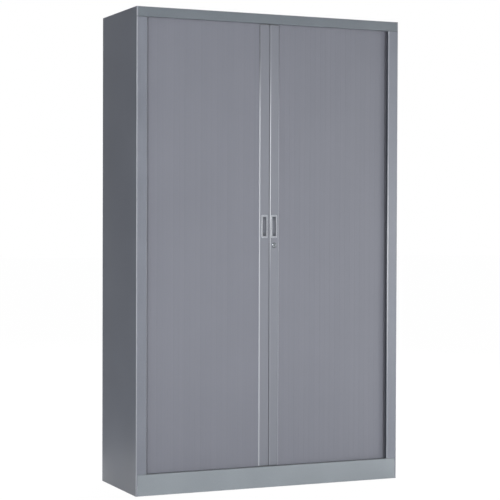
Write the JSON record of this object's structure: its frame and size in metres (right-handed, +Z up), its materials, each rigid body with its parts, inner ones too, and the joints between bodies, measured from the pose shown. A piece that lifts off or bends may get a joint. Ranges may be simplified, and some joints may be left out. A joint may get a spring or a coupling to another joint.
{
  "type": "tambour door cupboard",
  "caption": "Tall free-standing sheet-steel cupboard with two side-sliding tambour curtains, cup handles, a cam lock, adjustable shelves and levelling feet.",
  "frame": {"origin": "middle of the footprint at floor level", "axes": "+Z up, the front faces -Y, +X to the viewer's right"},
  "size_m": [1.2, 0.43, 1.98],
  "materials": {
    "powder_coated_steel": "satin aluminium-grey powder coat",
    "slat_pvc": "extruded PVC, matt grey",
    "coated_aluminium": "extruded, satin grey coat",
    "handle_plastic": "moulded, fine satin",
    "lock_chrome": "polished nickel-chrome plate",
    "zinc_plated_steel": "bright zinc plate",
    "track_plastic": "extruded and moulded, dark grey",
    "nylon": "moulded, black"
  },
  "bodies": {
    "cabinet": {"left_side_panel": "powder_coated_steel", "right_side_panel": "powder_coated_steel", "top_panel": "powder_coated_steel", "ceiling_panel": "powder_coated_steel", "plinth": "powder_coated_steel", "floor_panel": "powder_coated_steel", "left_back_panel": "powder_coated_steel", "right_back_panel": "powder_coated_steel", "back_joint_strip": "powder_coated_steel", "left_inner_liner": "powder_coated_steel", "right_inner_liner": "powder_coated_steel", "inner_back_panel": "powder_coated_steel", "shelf_1": "powder_coated_steel", "shelf_2": "powder_coated_steel", "shelf_3": "powder_coated_steel", "shelf_4": "powder_coated_steel", "lower_front_track": "track_plastic", "lower_right_side_track": "track_plastic", "lower_left_side_track": "track_plastic", "lower_rear_tracks": "track_plastic", "lower_front_corner_guides": "track_plastic", "lower_rear_corner_guides": "track_plastic", "upper_front_track": "track_plastic", "upper_right_side_track": "track_plastic", "upper_left_side_track": "track_plastic", "upper_rear_tracks": "track_plastic", "upper_front_corner_guides": "track_plastic", "upper_rear_corner_guides": "track_plastic", "shelf_1_clips": "zinc_plated_steel", "shelf_2_clips": "zinc_plated_steel", "shelf_3_clips": "zinc_plated_steel", "shelf_4_clips": "zinc_plated_steel", "centre_stops": "nylon", "leveller_brackets": "zinc_plated_steel", "leveller_nuts": "zinc_plated_steel", "floor_plugs": "nylon"},
    "left_shutter": {"left_lead_profile": "coated_aluminium", "left_slats": "slat_pvc", "left_handle_cup": "handle_plastic", "left_lower_guide": "nylon", "left_upper_guide": "nylon", "strike_plate": "zinc_plated_steel", "strike_screws": "zinc_plated_steel"},
    "right_shutter": {"right_lead_profile": "coated_aluminium", "right_slats": "slat_pvc", "right_handle_cup": "handle_plastic", "right_lower_guide": "nylon", "right_upper_guide": "nylon", "lock_housing": "lock_chrome", "lock_nut": "zinc_plated_steel"},
    "lock_rotor": {"lock_plug": "lock_chrome", "hook_cam": "zinc_plated_steel", "cam_screw": "zinc_plated_steel"},
    "front_left_foot": {"front_left_leveller": "zinc_plated_steel"},
    "front_right_foot": {"front_right_leveller": "zinc_plated_steel"},
    "rear_left_foot": {"rear_left_leveller": "zinc_plated_steel"},
    "rear_right_foot": {"rear_right_leveller": "zinc_plated_steel"}
  },
  "joints": [
    {"name": "left_shutter_slide", "type": "slide", "parent": "cabinet", "child": "left_shutter", "axis": [-1, 0, 0], "range_m": [0, 0.496], "deforming": ["left_slats"]},
    {"name": "right_shutter_slide", "type": "slide", "parent": "cabinet", "child": "right_shutter", "axis": [1, 0, 0], "range_m": [0, 0.496], "deforming": ["right_slats"]},
    {"name": "lock_turn", "type": "hinge", "parent": "right_shutter", "child": "lock_rotor", "pos_m": [0.022, -0.175, 1.015], "axis": [0, 1, 0], "range_deg": [0, 90]},
    {"name": "front_left_levelling", "type": "slide", "parent": "cabinet", "child": "front_left_foot", "axis": [0, 0, -1], "range_m": [0, 0.015]},
    {"name": "front_right_levelling", "type": "slide", "parent": "cabinet", "child": "front_right_foot", "axis": [0, 0, -1], "range_m": [0, 0.015]},
    {"name": "rear_left_levelling", "type": "slide", "parent": "cabinet", "child": "rear_left_foot", "axis": [0, 0, -1], "range_m": [0, 0.015]},
    {"name": "rear_right_levelling", "type": "slide", "parent": "cabinet", "child": "rear_right_foot", "axis": [0, 0, -1], "range_m": [0, 0.015]}
  ]
}
